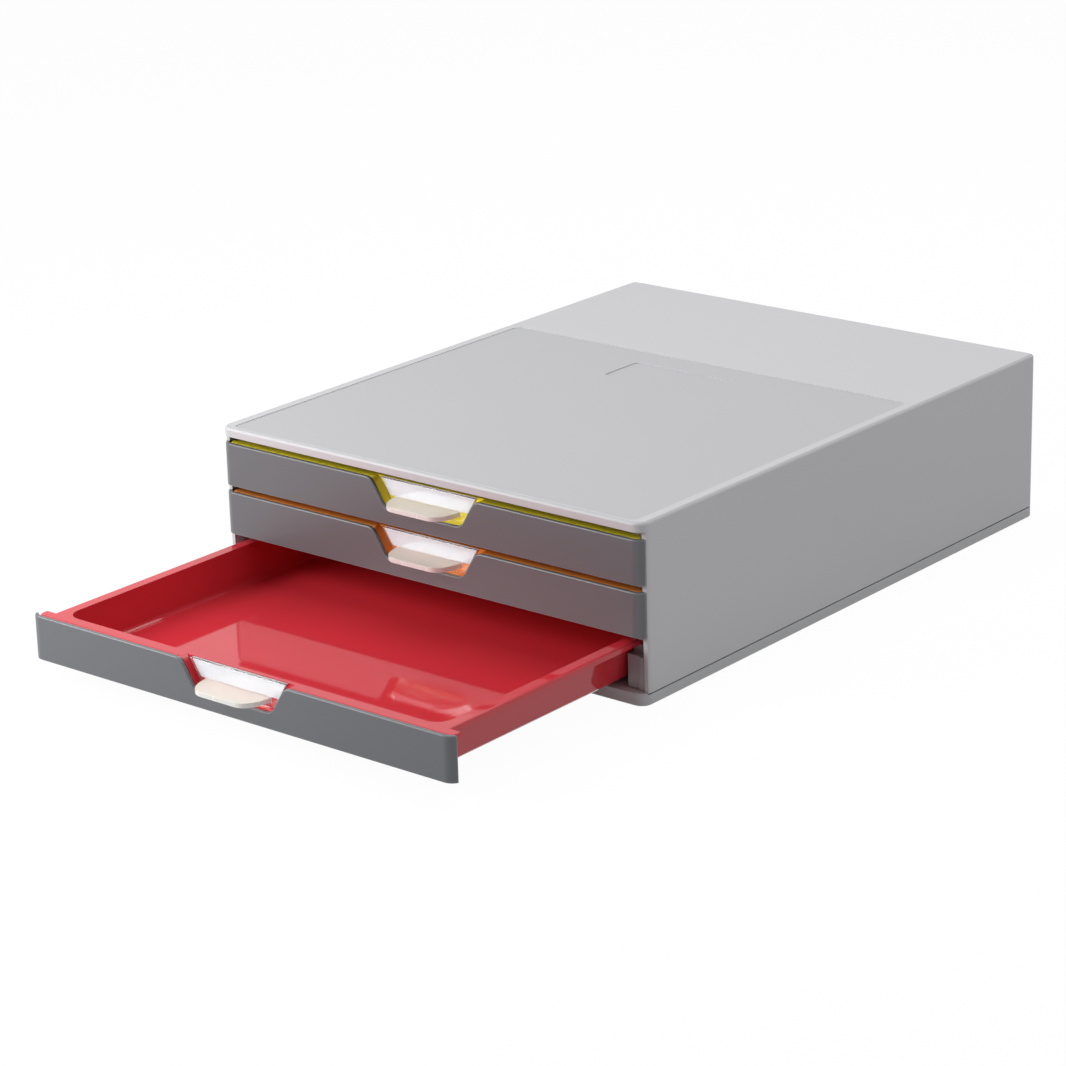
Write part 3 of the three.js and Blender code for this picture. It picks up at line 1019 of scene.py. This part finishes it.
    def window(self) -> None:
        """Builds the clear plate before the label with its level lip."""
        node = self.node("grip_window")
        notch = self.notch
        plate = pushed(f"{node}_moulding", notch.outline(
            self.window_side_gap, notch.bottom + self.window_bottom_gap,
            notch.height - self.window_top_drop, notch.bottom_round),
            self.window_front, self.window_front + self.window_wall)
        top = notch.height - self.lip_root_drop
        lip = raised("lip", self.lip_outline(0.0), top - self.lip_bead, top)
        under = raised("under", self.lip_outline(self.lip_bead_width),
                       top - self.lip_bead - OVERRUN, top - self.lip_plate)
        joined(plate, Join.ADD, joined(lip, Join.CUT, under))
        rounded(plate, self.window_round, self.window_round_steps, lambda middle: 1.0)
        dress(self.settle(shaded(plate)), self.window_finishes, "window_clear", self.body, node)
        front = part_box(self.node("front_cover"))[0].y + self.window_front
        paint(plate, WindowSkin.LIP, lambda middle, normal: middle.y < front - SEAM)
        paint(plate, WindowSkin.RIM, lambda middle, normal: (
            middle.y < front - SEAM and abs(normal.z) < UPRIGHT))

    def label(self) -> None:
        """Builds the card between the window and the tray."""
        node = self.node("label_card")
        front = self.window_front + self.window_wall + self.label_gap
        card = pushed(f"{node}_sheet", self.notch.outline(
            self.label_side_gap, self.notch.bottom + self.label_bottom_gap,
            self.notch.height - self.label_top_drop, self.label_round),
            front, front + self.label_thickness)
        dress(self.settle(shaded(card)), (self.label_finish,), "label_paper", self.body, node)


@dataclass
class Lamp:
    """A square softbox that faces the drawer."""

    name: str
    place: tuple[float, float, float]
    size: float
    power: float
    colour: str = WHITE

    def build(self, target: Vector) -> None:
        """Hangs the softbox and turns it to the target.

        Args:
            target: The point that it faces.
        """
        light = bpy.data.lights.new(self.name, "AREA")
        light.shape = "SQUARE"
        light.size = self.size
        light.energy = self.power
        light.color = linear(self.colour)[:3]
        lamp = bpy.data.objects.new(self.name, light)
        lamp.location = self.place
        lamp.rotation_euler = (target - Vector(self.place)).to_track_quat("-Z", "Y").to_euler()
        bpy.context.scene.collection.objects.link(lamp)


@dataclass
class Studio:
    """A white sweep, soft lamps and the camera."""

    camera_place: tuple[float, float, float] = (1.0936, -1.3253, 0.6254)
    camera_azimuth: float = math.radians(39.859)
    camera_elevation: float = math.radians(18.978)
    camera_roll: float = math.radians(-1.557)
    lens_mm: float = 116.15
    sensor_mm: float = 36.0
    sight: float = 100.0  # How far the camera sees
    target: Vector = field(default_factory=lambda: Vector((0.0, -0.02, 0.05)))
    floor_half: float = 6.0
    floor_shadow_share: float = 0.06
    floor_gap: float = 0.1 * MM  # Keeps the floor's surface apart from the feet's
    floor_glow: float = 1.03  # Makes up for the small share that the lamps light
    floor_colour: str = "#CACACA"
    ambient: float = 0.25
    lamps: tuple[Lamp, ...] = (
        Lamp("softbox_over", (-0.1, 0.5, 1.75), 1.5, 17.5),
        Lamp("softbox_front_left", (-0.45, -0.6, 0.35), 0.4, 4.3),
        Lamp("softbox_right", (0.75, 0.08, 0.42), 0.5, 0.66),
    )

    def build(self) -> None:
        """Builds the camera, the lamps, the world and the floor."""
        self.camera()
        for lamp in self.lamps:
            lamp.build(self.target)
        self.world()
        self.floor()
        bpy.context.scene.view_settings.view_transform = "Standard"

    def camera(self) -> None:
        """Places the camera at the photograph's viewing angle."""
        view = bpy.data.cameras.new("view")
        view.sensor_width = self.sensor_mm
        view.lens = self.lens_mm
        view.clip_end = self.sight
        camera = bpy.data.objects.new("view", view)
        camera.matrix_world = (
            Matrix.Translation(self.camera_place)
            @ Matrix.Rotation(self.camera_azimuth, 4, "Z")
            @ Matrix.Rotation(QUARTER - self.camera_elevation, 4, "X")
            @ Matrix.Rotation(self.camera_roll, 4, "Z")
        )
        bpy.context.scene.collection.objects.link(camera)
        bpy.context.scene.camera = camera

    def seen_directly(self, tree: bpy.types.NodeTree) -> tuple[bpy.types.Node, str]:
        """Tells camera, glossy and transmission rays from the rays that light the object.

        Args:
            tree: The node tree.

        Returns:
            The node and output that are one for rays that see the surface.
        """
        path = add_node(tree, "ShaderNodeLightPath")
        mirrored = add_node(tree, "ShaderNodeMath", None, {
            SUM_FIRST: (path, "Is Camera Ray"), SUM_SECOND: (path, "Is Glossy Ray")}, operation="MAXIMUM")
        seen = add_node(tree, "ShaderNodeMath", None, {
            SUM_FIRST: (mirrored, "Value"), SUM_SECOND: (path, "Is Transmission Ray")},
            operation="MAXIMUM")
        return seen, "Value"

    def world(self) -> None:
        """Gives an even pale surround that is white where it is seen."""
        world = bpy.data.worlds.new("surround")
        world.use_nodes = True
        tree = world.node_tree
        tree.nodes.clear()
        strength = add_node(tree, "ShaderNodeMapRange", {"To Min": self.ambient, "To Max": 1.0}, {
            "Value": self.seen_directly(tree)})
        light = add_node(tree, "ShaderNodeBackground", {"Color": linear(WHITE)},
                         {"Strength": (strength, "Result")})
        add_node(tree, "ShaderNodeOutputWorld", None, {"Surface": (light, "Background")})
        bpy.context.scene.world = world

    def floor(self) -> None:
        """Lays a white floor that keeps a faint shadow."""
        half = self.floor_half
        shape = bmesh.new()
        corners = [(-half, -half), (half, -half), (half, half), (-half, half)]
        shape.faces.new([shape.verts.new((x, y, -self.floor_gap)) for x, y in corners])
        floor = finished("floor", shape)
        material, tree = new_material("floor_white_paper")
        matt = add_node(tree, "ShaderNodeBsdfDiffuse", {"Color": linear(self.floor_colour)})
        glow = add_node(tree, "ShaderNodeEmission", {"Color": linear(WHITE), "Strength": self.floor_glow})
        share = add_node(tree, "ShaderNodeMath", {SUM_SECOND: 1.0 - self.floor_shadow_share},
                         {SUM_FIRST: self.seen_directly(tree)}, operation="MULTIPLY")
        mixed = add_node(tree, "ShaderNodeMixShader", None, {
            SHADER_SHARE: (share, "Value"), SHADER_FIRST: (matt, "BSDF"),
            SHADER_SECOND: (glow, "Emission")})
        add_node(tree, "ShaderNodeOutputMaterial", None, {"Surface": (mixed, "Shader")})
        floor.data.materials.append(material)


def main() -> None:
    """Builds the studio, the housing and the drawers."""
    logging.basicConfig(level=logging.INFO, format="%(message)s")
    Studio().build()
    Housing().build()
    cover = COVER_ABS.make()
    windows = WINDOW_FINISH.make(), LIP_FINISH.make(), RIM_FINISH.make()
    label = LABEL_FINISH.make()
    for level in Level:
        Drawer(level, cover, windows, label).build()


if __name__ == "__main__":
    main()
